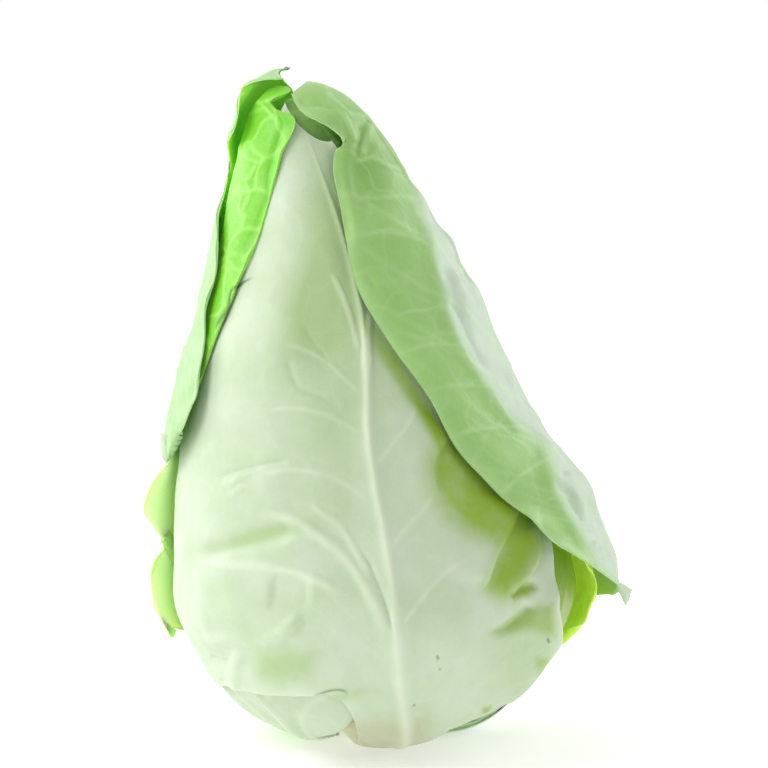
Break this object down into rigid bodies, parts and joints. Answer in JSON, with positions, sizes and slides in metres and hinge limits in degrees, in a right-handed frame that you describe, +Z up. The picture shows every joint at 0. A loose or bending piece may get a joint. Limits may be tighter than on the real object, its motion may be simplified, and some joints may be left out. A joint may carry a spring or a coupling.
{
  "type": "pointed cabbage head",
  "caption": "Pointed head of cabbage standing on its cut stalk, with loose outer leaves wrapped round a dense heart.",
  "frame": {"origin": "middle of the flat cut face of the stalk, on which the head stands", "axes": "+Z up from the cut stalk to the tip of the head, -Y towards the front leaf, +X towards the flaring corner of the hood leaf"},
  "size_m": [0.1655, 0.1508, 0.2298],
  "materials": {
    "heart": "crisp, pale creamy yellow-green, with a smooth cut face on the stalk",
    "inner_leaf": "crisp and pale green, with a soft waxy sheen",
    "pale_leaf": "pale whitish green with a waxy bloom, and a raised whitish midrib and side veins",
    "lime_leaf": "thin and bright lime, letting light through, with a net of pale veins",
    "olive_leaf": "crinkled olive green inner face with a darker, shaded margin",
    "left_outer_leaf": "silvery pale green face and a darker green rim, with a waxy bloom",
    "green_leaf": "soft grey-green with a lighter wavy margin and a silvery, crinkled side"
  },
  "bodies": {
    "root": {"heart_with_stalk": "heart", "under_leaf_right": "inner_leaf", "under_leaf_left": "inner_leaf", "front_leaf": "pale_leaf", "back_leaf": "pale_leaf", "left_leaf": "lime_leaf", "right_leaf": "olive_leaf", "left_outer_leaf": "left_outer_leaf", "hood_leaf": "green_leaf"}
  },
  "joints": []
}
